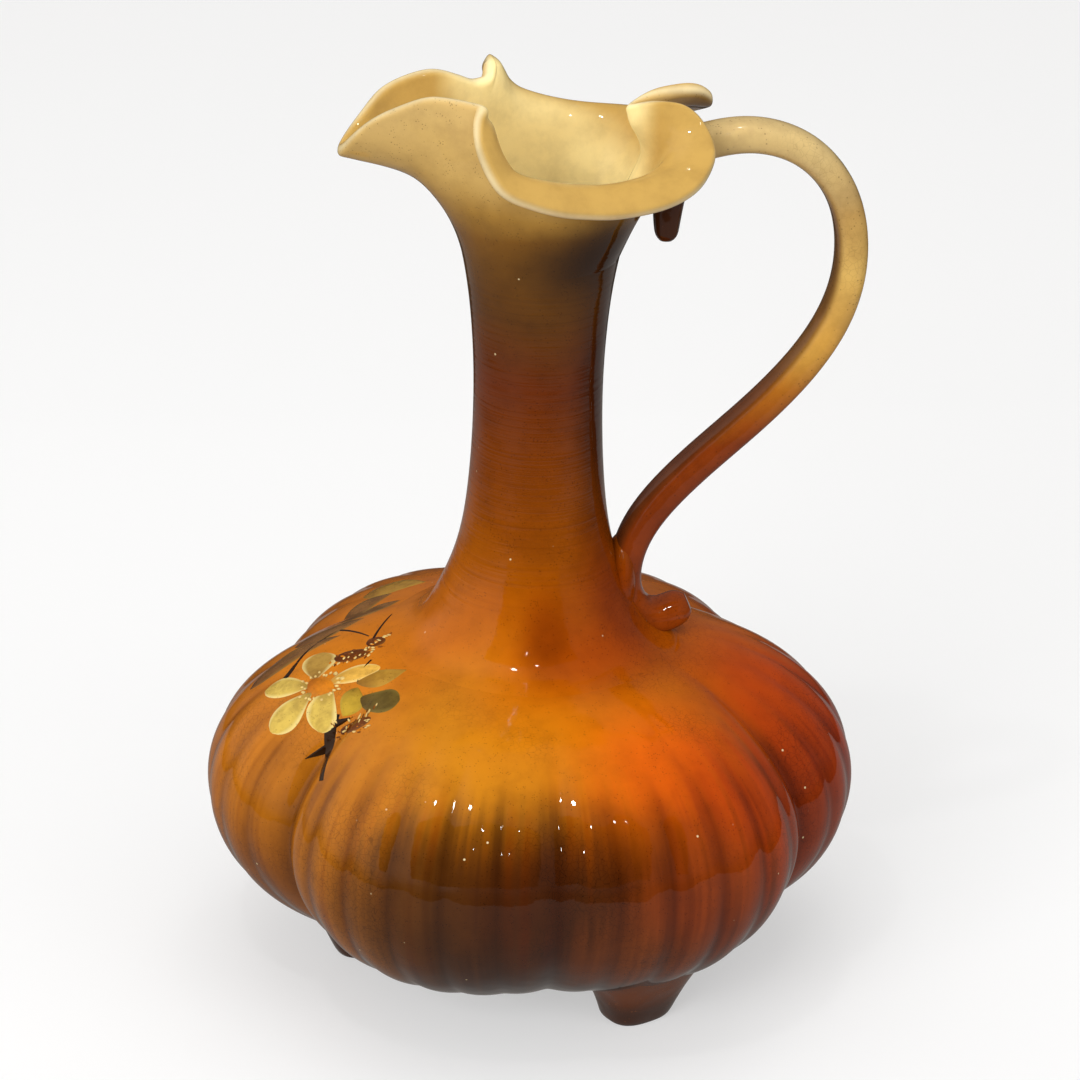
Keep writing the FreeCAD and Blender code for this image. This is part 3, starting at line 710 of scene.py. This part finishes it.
class Recipe:
    """A procedural material put together one node at a time."""

    def __init__(self, name):
        self.material = bpy.data.materials.new(name)
        self.material.use_nodes = True
        self.tree = self.material.node_tree
        self.tree.nodes.clear()
        self.place = self.node("ShaderNodeTexCoord").outputs["Object"]

    def node(self, kind, inputs=None, **settings):
        node = self.tree.nodes.new(kind)
        for key, value in settings.items():
            setattr(node, key, value)
        for key, value in (inputs or {}).items():
            socket = node.inputs[key]
            if isinstance(value, bpy.types.NodeSocket):
                self.tree.links.new(value, socket)
            else:
                socket.default_value = value
        return node

    def math(self, operation, *values):
        return self.node("ShaderNodeMath", dict(enumerate(values)), operation=operation).outputs[0]

    def times(self, first, second):
        return self.math("MULTIPLY", first, second)

    def mark(self, name):
        return self.node("ShaderNodeAttribute", attribute_name=name).outputs["Fac"]

    def span(self, value, low, high, to_low=0.0, to_high=1.0):
        """value mapped smoothly from low..high to to_low..to_high."""
        return self.node("ShaderNodeMapRange", {"Value": value, 1: low, 2: high, 3: to_low, 4: to_high},
                         interpolation_type="SMOOTHSTEP").outputs[0]

    def mix(self, factor, first, second, blend="MIX"):
        return self.node("ShaderNodeMix", {0: factor, 6: first, 7: second}, data_type="RGBA",
                         blend_type=blend).outputs[2]

    def stretched(self, x, y, z):
        return self.node("ShaderNodeVectorMath", {0: self.place, 1: (x, y, z)},
                         operation="MULTIPLY").outputs[0]

    def down_the_wall(self):
        """Coordinates whose noise runs down the wall in streaks, from the neck outward."""
        flat = self.stretched(1, 1, 0)
        away = self.node("ShaderNodeVectorMath", {0: flat}, operation="NORMALIZE").outputs[0]
        return self.node("ShaderNodeVectorMath", {0: away, 1: (24, 24, 0), 2: self.stretched(0, 0, 16)},
                         operation="MULTIPLY_ADD").outputs[0]

    def noise(self, scale, detail=3.0, roughness=0.5, place=None):
        return self.node("ShaderNodeTexNoise", {"Vector": place or self.place, "Scale": scale,
                                                "Detail": detail, "Roughness": roughness}).outputs["Fac"]

    def ramp(self, value, stops):
        node = self.node("ShaderNodeValToRGB", {"Fac": value})
        ramp = node.color_ramp
        while len(ramp.elements) < len(stops):
            ramp.elements.new(0.5)
        for element, (at, shade) in zip(ramp.elements, stops):
            element.position = at
            element.color = shade
        return node.outputs["Color"]

    def cloud(self, centre, reach, ragged=0.25, streak=None):
        """1 at a point in the pot's space, fading to 0 at its reach, all in millimetres."""
        offset = self.node("ShaderNodeVectorMath", {0: self.place, 1: tuple(c * MM for c in centre)},
                           operation="SUBTRACT").outputs[0]
        size = tuple(1 / (r * MM) for r in reach)
        scaled = self.node("ShaderNodeVectorMath", {0: offset, 1: size}, operation="MULTIPLY").outputs[0]
        distance = self.node("ShaderNodeVectorMath", {0: scaled}, operation="LENGTH").outputs["Value"]
        wander = self.math("MULTIPLY_ADD", self.noise(40, 2), ragged, -ragged / 2)
        distance = self.math("ADD", distance, wander)
        if streak is not None:
            distance = self.math("ADD", distance, streak)
        return self.span(distance, 1.0, 0.15)

    def crazing(self):
        """Hairline cracks in the glaze: 1 on a crack."""
        wobble = self.node("ShaderNodeTexNoise", {"Vector": self.place, "Scale": 180.0}).outputs["Color"]
        bent = self.node("ShaderNodeVectorMath", {0: wobble, 1: (0.0009,) * 3, 2: self.place},
                         operation="MULTIPLY_ADD").outputs[0]
        cells = self.node("ShaderNodeTexVoronoi", {"Vector": bent, "Scale": 620.0},
                          feature="DISTANCE_TO_EDGE").outputs["Distance"]
        fine = self.span(cells, 0.06, 0.0)
        patchy = self.span(self.noise(26, 2), 0.48, 0.64)
        return self.times(fine, patchy)

    def specks(self, scale, size):
        """Scattered dots: 1 in a dot."""
        cells = self.node("ShaderNodeTexVoronoi", {"Vector": self.place, "Scale": scale}).outputs["Distance"]
        picked = self.span(self.noise(scale * 0.31, 1), 0.52, 0.6)
        return self.times(self.span(cells, size, size * 0.5), picked)

    def surface(self, base, bumps):
        """A coat of clear glaze over a coloured ground; bumps are (height, distance) pairs."""
        normal = None
        for height, distance in bumps:
            inputs = {"Height": height, "Distance": distance, "Strength": 1.0}
            if normal is not None:
                inputs["Normal"] = normal
            normal = self.node("ShaderNodeBump", inputs).outputs["Normal"]
        shader = self.node("ShaderNodeBsdfPrincipled", {"Base Color": base, "Roughness": GROUND_ROUGHNESS,
                                                        "Coat Weight": 1.0, "Coat Roughness": COAT_ROUGHNESS,
                                                        "Coat IOR": 1.5, "IOR": 1.45,
                                                        "Specular IOR Level": 0.0, "Normal": normal,
                                                        "Coat Normal": normal})
        self.tree.links.new(shader.outputs[0], self.node("ShaderNodeOutputMaterial").inputs["Surface"])
        return self.material


def round_the_body(turn, height):
    """A point on the body in millimetres, from its angle in degrees and its height."""
    radius = float(np.interp(height, BODY_OUTLINE[::-1, 1], BODY_OUTLINE[::-1, 0]))
    return radius * cos(radians(turn)), radius * sin(radians(turn)), height


# sprayed colour on the body: (angle, height, reach, colour, strength)
BODY_CLOUDS = [
    (185, 60, 115, "D07A10", 1.0),
    (150, 60, 70, "A86012", 0.8),
    (90, 55, 70, "8A4208", 0.8),
    (40, 60, 60, "8C3004", 0.8),
    (218, 74, 60, "C0741A", 0.9),
    (200, 30, 36, "86480C", 0.8),
    (250, 88, 46, "C07814", 0.9),
    (268, 92, 30, "C26002", 0.9),
    (258, 87, 34, "CC8214", 0.5),
    (286, 87, 30, "CC780E", 0.5),
    (296, 82, 36, "D65A04", 0.9),
    (345, 64, 70, "A02E02", 0.95),
    (345, 84, 36, "B03E04", 0.85),
    (312, 72, 36, "B64004", 0.9),
    (236, 46, 32, "8E5416", 0.8),
    (247, 60, 26, "58300C", 0.85),
    (286, 62, 26, "5C2808", 0.75),
    (248, 50, 36, "5E340C", 0.95),
    (256, 34, 36, "4A280E", 0.9),
    (268, 60, 34, "46200A", 0.95),
    (275, 44, 30, "4A240A", 0.9),
    (296, 38, 36, "8A3A10", 0.85),
    (285, 34, 26, "7A3C10", 0.8),
    (296, 58, 26, "943C0A", 0.7),
    (333, 44, 40, "9A3A0C", 0.85),
]
# the ground's colour from the table up, as (share of 250 mm, colour)
HEIGHT_STOPS = [(0.04, "2E160C"), (0.1, "5A2C10"), (0.18, "8A3A0A"), (0.27, "A85006"), (0.35, "BC6404"),
                (0.4, "B05404"), (0.5, "8E4602"), (0.6, "763604"), (0.7, "622806"), (0.78, "583206"),
                (0.84, "66400C"), (0.87, "7A5014"), (0.9, "A67C34"), (0.94, "CCA65E"), (1.0, "CEAC6C")]
HANDLE_STOPS = [(0.36, "96400A"), (0.5, "78300A"), (0.6, "84380E"), (0.66, "AE6A20"), (0.72, "CA9642"),
                (0.8, "D6AE60"), (0.88, "B89254"), (0.95, "D2B67C")]
# slip colours, as (tint, colour)
PETAL_STOPS = [(0.0, "D0B050"), (0.5, "E4B04A"), (1.0, "B48C3E")]
LEAF_STOPS = [(0.0, "B0822C"), (0.35, "B8962A"), (0.7, "66521E"), (1.0, "84582A")]
TWIG_STOPS = [(0.0, "2E1A0A"), (1.0, "3E240E")]
SEED_STOPS = [(0.0, "6A3408"), (0.25, "8A4A0A"), (0.5, "D07A10"), (1.0, "EACC80")]


# darker patches on the neck and the far petal, some of them painted shadow and shade: (centre, reach on each
# axis, colour, strength)
# the dark under the near petal's lip: partly its glaze and partly painted shadow
DARK_PATCHES_AND_PAINTED_SHADE = [((12, -16, 212), (26, 20, 20), "1E0E08", 0.9),
               # the neck's right side darker: partly its glaze and partly painted shade
               ((17, -8, 170), (14, 20, 70), "301206", 0.85),
               ((24, -16, 110), (26, 22, 40), "742402", 0.75),
               ((10, -26, 97), (28, 22, 14), "9C3C02", 0.7),
               ((1, -28, 106), (12, 16, 18), "7C3002", 0.8),
               # painted shade on the far petal's end, where it turns away from the light
               ((44, 11, 245), (20, 16, 14), "6E5024", 0.9)]


# colours laid over the grounds
CRACK_BROWN = "3A1C0A"
POOLED_GLAZE_AND_SHADE_BROWN = "5A2A0C"
STREAK_BROWN = "6A3410"
LOW_BROWN = "3A1C0E"
BOWL_CREAM = "FFF2B4"
# brown for the grooves and creases: partly pooled glaze and partly painted shade
BOWL_YELLOW = "FFE298"
PETAL_GOLD = "B88E40"
THROAT_BROWN = "6A4A14"
# pale cream of the painted highlight along the lip's edge
LIP_HIGHLIGHT_CREAM = "F4E2B2"
PIT_CREAM = "F0DCA8"
GROUND_ROUGHNESS = 0.32
COAT_ROUGHNESS = 0.03
FULL_HEIGHT = 250.0       # the height in millimetres that the stops' shares are taken of


def stops_of(pairs):
    return [(at, colour(code)) for at, code in pairs]


def slip_paint(name, stops, rim_colour, rim_strength):
    """Painted slip under the glaze: a tint for each stroke, and a paler rim."""
    r = Recipe(name)
    base = r.ramp(r.mark("tint"), stops_of(stops))
    uneven = r.noise(260, 4, 0.65)
    base = r.mix(r.span(uneven, 0.35, 0.7, 0.0, 0.35), base, colour("6A5010"), "MULTIPLY")
    rim = r.span(r.math("ADD", r.mark("rim"), r.times(uneven, 0.25)), 0.75, 1.1)
    base = r.mix(r.times(rim, rim_strength), base, colour(rim_colour))
    from_heart = r.span(r.mark("run"), 0.5, 0.0, 0.0, 0.5)
    base = r.mix(from_heart, base, colour("8C5A10"), "MULTIPLY")
    base = r.mix(r.times(r.specks(1500, 0.3), 0.5), base, colour("4A3008"), "MULTIPLY")
    return r.surface(base, [(uneven, 0.0001)])


def pot_glaze():
    """The glaze over the body, neck and mouth: one sprayed ground that runs across their joins."""
    r = Recipe("glaze_pot")
    height = r.node("ShaderNodeSeparateXYZ", {0: r.place}).outputs["Z"]
    wander = r.math("MULTIPLY_ADD", r.noise(28, 3), 0.016, -0.008)
    level = r.math("DIVIDE", r.math("ADD", height, wander), FULL_HEIGHT * MM)
    ground = r.ramp(level, stops_of(HEIGHT_STOPS))
    streak = r.noise(1.0, 2, 0.5, r.down_the_wall())
    on_belly = r.span(height, 90 * MM, 74 * MM)
    runs = r.times(r.span(streak, 0.3, 0.7, -0.13, 0.13), on_belly)
    for turn, z, reach, code, strength in BODY_CLOUDS:
        spot = r.cloud(round_the_body(turn, z), (reach,) * 3, streak=runs)
        ground = r.mix(r.times(spot, strength), ground, colour(code))
    # darker patches on the neck and the far petal, among them painted shadow and shade
    for centre, reach, code, strength in DARK_PATCHES_AND_PAINTED_SHADE:
        ground = r.mix(r.times(r.cloud(centre, reach), strength), ground, colour(code))
    low = r.span(height, 26 * MM, 10 * MM)
    ground = r.mix(r.times(low, 0.85), ground, colour(LOW_BROWN))
    only_body = r.span(height, 84 * MM, 70 * MM)
    streaks = r.times(r.span(streak, 0.42, 0.72, 0.0, 0.35), only_body)
    ground = r.mix(streaks, ground, colour(STREAK_BROWN), "MULTIPLY")
    # the rib grooves and the creases between the lobes are darkened, partly for glaze pooled in them and
    # partly as painted shade
    ground = r.mix(r.times(r.mark("groove"), 0.45), ground, colour(POOLED_GLAZE_AND_SHADE_BROWN), "MULTIPLY")
    ground = r.mix(r.times(r.mark("fold"), 0.5), ground, colour(POOLED_GLAZE_AND_SHADE_BROWN), "MULTIPLY")
    inner = r.mix(r.noise(25, 2), colour(BOWL_CREAM), colour(BOWL_YELLOW))
    flat = r.node("ShaderNodeVectorMath", {0: r.stretched(1, 1, 0)}, operation="LENGTH").outputs["Value"]
    inner = r.mix(r.span(flat, 22 * MM, 31 * MM, 0.0, 0.9), inner, colour(PETAL_GOLD))
    inner = r.mix(r.span(height, 226 * MM, 190 * MM), inner, colour(THROAT_BROWN))
    base = r.mix(r.mark("inside"), ground, inner)
    # painted highlight: pale cream along the lip's rolled edge
    lip_highlight = r.times(r.mark("lip_highlight"), 0.7)
    base = r.mix(lip_highlight, base, colour(LIP_HIGHLIGHT_CREAM))
    outside = r.math("SUBTRACT", 1.0, r.mark("inside"))
    mottle = r.noise(120, 5, 0.65)
    base = r.mix(r.span(mottle, 0.35, 0.75, 0.0, 0.18), base, colour("5C3010"), "MULTIPLY")
    below_the_flare = r.times(outside, r.span(height, 150 * MM, 110 * MM))
    crazed = r.times(r.crazing(), below_the_flare)
    base = r.mix(r.times(crazed, 0.35), base, colour(CRACK_BROWN), "MULTIPLY")
    specked = r.times(r.specks(1400, 0.3), r.times(outside, 0.45))
    base = r.mix(specked, base, colour(CRACK_BROWN), "MULTIPLY")
    pits = r.times(r.specks(170, 0.07), r.times(outside, 0.7))
    base = r.mix(pits, base, colour(PIT_CREAM))
    turning = r.noise(1.0, 3, 0.6, r.stretched(9, 9, 900))
    only_neck = r.times(r.span(height, 100 * MM, 112 * MM), r.span(height, 216 * MM, 200 * MM))
    turning = r.times(turning, only_neck)
    base = r.mix(r.times(r.span(turning, 0.5, 0.7), 0.14), base, colour("5A3008"), "MULTIPLY")
    bumps = [(r.noise(55, 2), 0.0006), (turning, 0.00012), (r.noise(700, 2), 0.00002)]
    return r.surface(base, bumps)


def handle_glaze():
    """Cream yellow at the top of the handle, through olive gold, to rust at its lower end."""
    r = Recipe("glaze_handle")
    height = r.node("ShaderNodeSeparateXYZ", {0: r.place}).outputs["Z"]
    wander = r.math("MULTIPLY_ADD", r.noise(30, 3), 0.03, -0.015)
    level = r.math("DIVIDE", r.math("ADD", height, wander), FULL_HEIGHT * MM)
    ground = r.ramp(level, stops_of(HANDLE_STOPS))
    rim = r.span(r.mark("outward"), 0.45, 0.95)
    high = r.span(height, 236 * MM, 210 * MM)
    ground = r.mix(r.times(r.times(rim, high), 0.85), ground, colour("5A2E14"))
    mottle = r.noise(120, 5, 0.65)
    base = r.mix(r.span(mottle, 0.35, 0.75, 0.0, 0.25), ground, colour("6C4418"), "MULTIPLY")
    base = r.mix(r.times(r.crazing(), 0.2), base, colour(CRACK_BROWN), "MULTIPLY")
    base = r.mix(r.times(r.specks(900, 0.28), 0.4), base, colour("2A1408"))
    bumps = [(r.noise(60, 2), 0.0006), (r.noise(700, 2), 0.00002)]
    return r.surface(base, bumps)


def dark_glaze():
    """Dark brown glaze on the feet and the drop under the lip, rusty where it thins; on the drop the dark
    brown is partly painted shade from the lip above.
    """
    r = Recipe("glaze_dark")
    height = r.node("ShaderNodeSeparateXYZ", {0: r.place}).outputs["Z"]
    base = r.mix(r.noise(60, 4), colour("2A140A"), colour("4C2610"))
    rusty = r.times(r.span(height, 4 * MM, 14 * MM), r.span(height, 40 * MM, 20 * MM))
    base = r.mix(r.times(rusty, 0.6), base, colour("783A12"))
    base = r.mix(r.times(r.specks(900, 0.3), 0.5), base, colour("7A4420"))
    bumps = [(r.noise(90, 2), 0.0006), (r.noise(700, 2), 0.00002)]
    return r.surface(base, bumps)


# ---------------------------------------------------------------- studio

# the world's light on the pot, and what the glaze mirrors of it
LIGHT_ABOVE = (0.68, 0.67, 0.66, 1)
LIGHT_BELOW = (0.4, 0.39, 0.38, 1)
MIRRORED_ABOVE = (0.12, 0.108, 0.1, 1)
MIRRORED_BELOW = (0.05, 0.045, 0.04, 1)
SHEET_SHADE = (0.27, 0.25, 0.235, 1)
MIRRORED_WALL = (0.4, 0.37, 0.34, 1)
PALE_WALL_SIDE = (-0.94, -0.1, 0.3)
FLOOR_SHADE = 0.45
FLOOR_GLOW = 0.44
# the paper's profile, in metres: where it starts, bends up and ends, and how round the bend is
FLOOR_NEAR = -2.2
FLOOR_BEND = 1.6
FLOOR_FAR = 2.6
FLOOR_TOP = 3.2
FLOOR_HALF_WIDTH = 3.0
BEND_RADIUS = 1.0
BEND_STEPS = 24
LAMP_AIM = 0.12           # the height in metres that the lamps are turned to
# large lamps: (name, place, width, height, power)
SOFT_BOXES = [("key", (-1.1, -1.5, 0.9), 1.2, 1.0, 26),
              ("fill", (1.4, -1.2, 0.6), 1.0, 1.0, 7),
              ("top", (0.0, 0.2, 1.6), 1.4, 1.4, 7)]
SPARK_DISTANCE = 1.1
# small lamps round the pot: (angle, rise, power)
SPARKS = [(-125, 63, 3.0), (-87, 53, 0.7), (-101, 34, 0.4), (60, 77, 0.8)]


def studio_material(name, shade, rough, glow=0.0):
    r = Recipe(name)
    tint = r.mix(r.noise(3, 2), shade, tuple(min(c * 1.02, 1) for c in shade[:3]) + (1,))
    shader = r.node("ShaderNodeBsdfPrincipled", {"Base Color": tint, "Roughness": rough,
                                                 "Emission Color": (1, 1, 1, 1),
                                                 "Emission Strength": glow})
    r.tree.links.new(shader.outputs[0], r.node("ShaderNodeOutputMaterial").inputs["Surface"])
    return r.material


def floor():
    """Pale paper that lies flat under the pot and curves up far behind it, glowing a little."""
    curve = [(FLOOR_NEAR, 0.0), (FLOOR_BEND, 0.0)]
    for step in range(1, BEND_STEPS + 1):
        angle = radians(90 * step / BEND_STEPS)
        curve.append((FLOOR_BEND + BEND_RADIUS * sin(angle), BEND_RADIUS * (1 - cos(angle))))
    curve.append((FLOOR_FAR, FLOOR_TOP))
    vertices = [(x, y, z) for y, z in curve for x in (-FLOOR_HALF_WIDTH, FLOOR_HALF_WIDTH)]
    faces = [(2 * i, 2 * i + 1, 2 * i + 3, 2 * i + 2) for i in range(len(curve) - 1)]
    mesh = bpy.data.meshes.new("floor")
    mesh.from_pydata(vertices, [], faces)
    mesh.polygons.foreach_set("use_smooth", [True] * len(mesh.polygons))
    mesh.materials.append(studio_material("floor_paper", (FLOOR_SHADE,) * 3 + (1,), 0.8, FLOOR_GLOW))
    paper = bpy.data.objects.new("floor", mesh)
    paper.visible_glossy = False
    paper.visible_diffuse = False
    stand_in_studio(paper)


def stand_in_studio(thing):
    bpy.context.scene.collection.objects.link(thing)


def towards_pot(spot):
    return (Vector((0, 0, LAMP_AIM)) - Vector(spot)).to_track_quat("-Z", "Y").to_euler()


def seen_from_pot(turn, rise, distance):
    """A place in the studio by its direction from the pot, in degrees, and its distance."""
    flat = distance * cos(radians(rise))
    height = LAMP_AIM + distance * sin(radians(rise))
    return flat * cos(radians(turn)), flat * sin(radians(turn)), height


def hang(name, lamp, spot):
    holder = bpy.data.objects.new(name, lamp)
    holder.location = spot
    return holder


def soft_box(name, spot, wide, high, power):
    """A large lamp; the glaze doesn't mirror it."""
    lamp = bpy.data.lights.new(name, "AREA")
    lamp.shape = "RECTANGLE"
    lamp.size = wide
    lamp.size_y = high
    lamp.energy = power
    holder = hang(name, lamp, spot)
    holder.rotation_euler = towards_pot(spot)
    holder.visible_glossy = False
    stand_in_studio(holder)


def spark(name, turn, rise, power):
    """A small lamp that makes a bright point on the glaze."""
    lamp = bpy.data.lights.new(name, "POINT")
    lamp.shadow_soft_size = 0.016 * power ** 0.5
    lamp.energy = power
    stand_in_studio(hang(name, lamp, seen_from_pot(turn, rise, SPARK_DISTANCE)))


def glazed_only(name, corners, material):
    """A flat sheet that only the glaze's reflections show."""
    mesh = bpy.data.meshes.new(name)
    mesh.from_pydata(corners, [], [(0, 1, 2, 3)])
    mesh.materials.append(material)
    sheet = bpy.data.objects.new(name, mesh)
    sheet.visible_camera = False
    sheet.visible_diffuse = False
    sheet.visible_shadow = False
    stand_in_studio(sheet)
    return sheet


def rectangle(wide, high):
    return [(x * wide / 2, y * high / 2, 0) for x, y in ((-1, -1), (1, -1), (1, 1), (-1, 1))]


def table_sheet():
    """The pale sheet of paper round the pot's feet."""
    paper = Recipe("sheet_paper")
    tint = paper.mix(paper.noise(6, 2), SHEET_SHADE, tuple(0.9 * c for c in SHEET_SHADE[:3]) + (1,))
    glow = paper.node("ShaderNodeEmission", {"Color": tint, "Strength": 1.0})
    paper.tree.links.new(glow.outputs[0], paper.node("ShaderNodeOutputMaterial").inputs["Surface"])
    sheet = glazed_only("table_sheet", rectangle(0.8, 0.72), paper.material)
    sheet.location = (0, 0, 0.0005)


def dark_opening():
    """A dark panel in front of the pot that only the glaze mirrors."""
    cloth = studio_material("dark_cloth", (0.012, 0.01, 0.009, 1), 1.0)
    opening = glazed_only("opening", rectangle(1.9, 1.25), cloth)
    opening.location = seen_from_pot(-99, 30, 1.2)
    opening.rotation_euler = towards_pot(opening.location)


def world_light():
    """Light from all sides, weaker from below; the glaze mirrors a pale wall only on the left."""
    world = bpy.data.worlds.new("studio")
    world.use_nodes = True
    tree = world.node_tree
    tree.nodes.clear()

    def node(kind, *inputs, **settings):
        made = tree.nodes.new(kind)
        for key, value in settings.items():
            setattr(made, key, value)
        for index, value in inputs:
            if isinstance(value, bpy.types.NodeSocket):
                tree.links.new(value, made.inputs[index])
            else:
                made.inputs[index].default_value = value
        return made.outputs

    def fade(value, start, end):
        return node("ShaderNodeMapRange", (0, value), (1, start), (2, end),
                    interpolation_type="SMOOTHSTEP")[0]

    def mix(factor, first, second):
        return node("ShaderNodeMix", (0, factor), (6, first), (7, second), data_type="RGBA")[2]

    direction = node("ShaderNodeTexCoord")["Generated"]
    rise = fade(node("ShaderNodeSeparateXYZ", (0, direction))["Z"], -0.12, 0.12)
    leftness = node("ShaderNodeVectorMath", (0, direction), (1, PALE_WALL_SIDE),
                    operation="DOT_PRODUCT")["Value"]
    lit = mix(rise, LIGHT_BELOW, LIGHT_ABOVE)
    wall = mix(fade(leftness, 0.35, 0.75), MIRRORED_ABOVE, MIRRORED_WALL)
    mirrored = mix(rise, MIRRORED_BELOW, wall)
    glossy = node("ShaderNodeLightPath")["Is Glossy Ray"]
    shader = node("ShaderNodeMixShader", (0, glossy),
                  (1, node("ShaderNodeBackground", (0, lit))[0]),
                  (2, node("ShaderNodeBackground", (0, mirrored))[0]))[0]
    node("ShaderNodeOutputWorld", (0, shader))
    bpy.context.scene.world = world


def studio():
    floor()
    world_light()
    dark_opening()
    for box in SOFT_BOXES:
        soft_box(*box)
    table_sheet()
    for index, (turn, rise, power) in enumerate(SPARKS):
        spark("spark_%d" % index, turn, rise, power)


# the camera's angles in degrees, its distance in metres, and its aim in millimetres
AZIMUTH = -6.0
ELEVATION = 25.0
ROLL = 1.2
DISTANCE = 1.4
AIM_HEIGHT = 122.5
AIM_RIGHT = 1.35
AIM_DOWN = 0.8
FOCAL_LENGTH = 172.2
SENSOR_WIDTH = 36


def camera():
    """The camera stands a little to the spout's side and looks down on the pitcher."""
    azimuth = radians(AZIMUTH)
    elevation = radians(ELEVATION)
    back = Vector((sin(azimuth) * cos(elevation), -cos(azimuth) * cos(elevation), sin(elevation)))
    right = Vector((cos(azimuth), sin(azimuth), 0))
    up = back.cross(right)
    aim = Vector((0, 0, AIM_HEIGHT * MM)) + right * AIM_RIGHT * MM - up * AIM_DOWN * MM
    data = bpy.data.cameras.new("camera")
    data.lens = FOCAL_LENGTH
    data.sensor_width = SENSOR_WIDTH
    seen = bpy.data.objects.new("camera", data)
    seen.location = aim + back * DISTANCE
    turn = (-back).to_track_quat("-Z", "Y")
    seen.rotation_mode = "QUATERNION"
    seen.rotation_quaternion = Quaternion(back, radians(ROLL)) @ turn
    bpy.context.scene.collection.objects.link(seen)
    bpy.context.scene.camera = seen


BODY_GRID = lobed_grid(BODY_OUTSIDE, True)
BODY_OUTLINE = spline_curve(BODY_OUTSIDE, np.linspace(0, 1, 200))
OUTLINE_LENGTH = np.hypot(*np.diff(BODY_OUTLINE, axis=0).T).sum()
GLAZES = {"pot": pot_glaze(), "handle": handle_glaze(), "dark": dark_glaze()}
body()
neck()
mouth()
handle()
handle_tail()
slip_joint()
blossom()
for name, (distance, angle) in FEET.items():
    foot(name, distance, angle)
studio()
camera()
bpy.context.scene.view_settings.view_transform = "Standard"
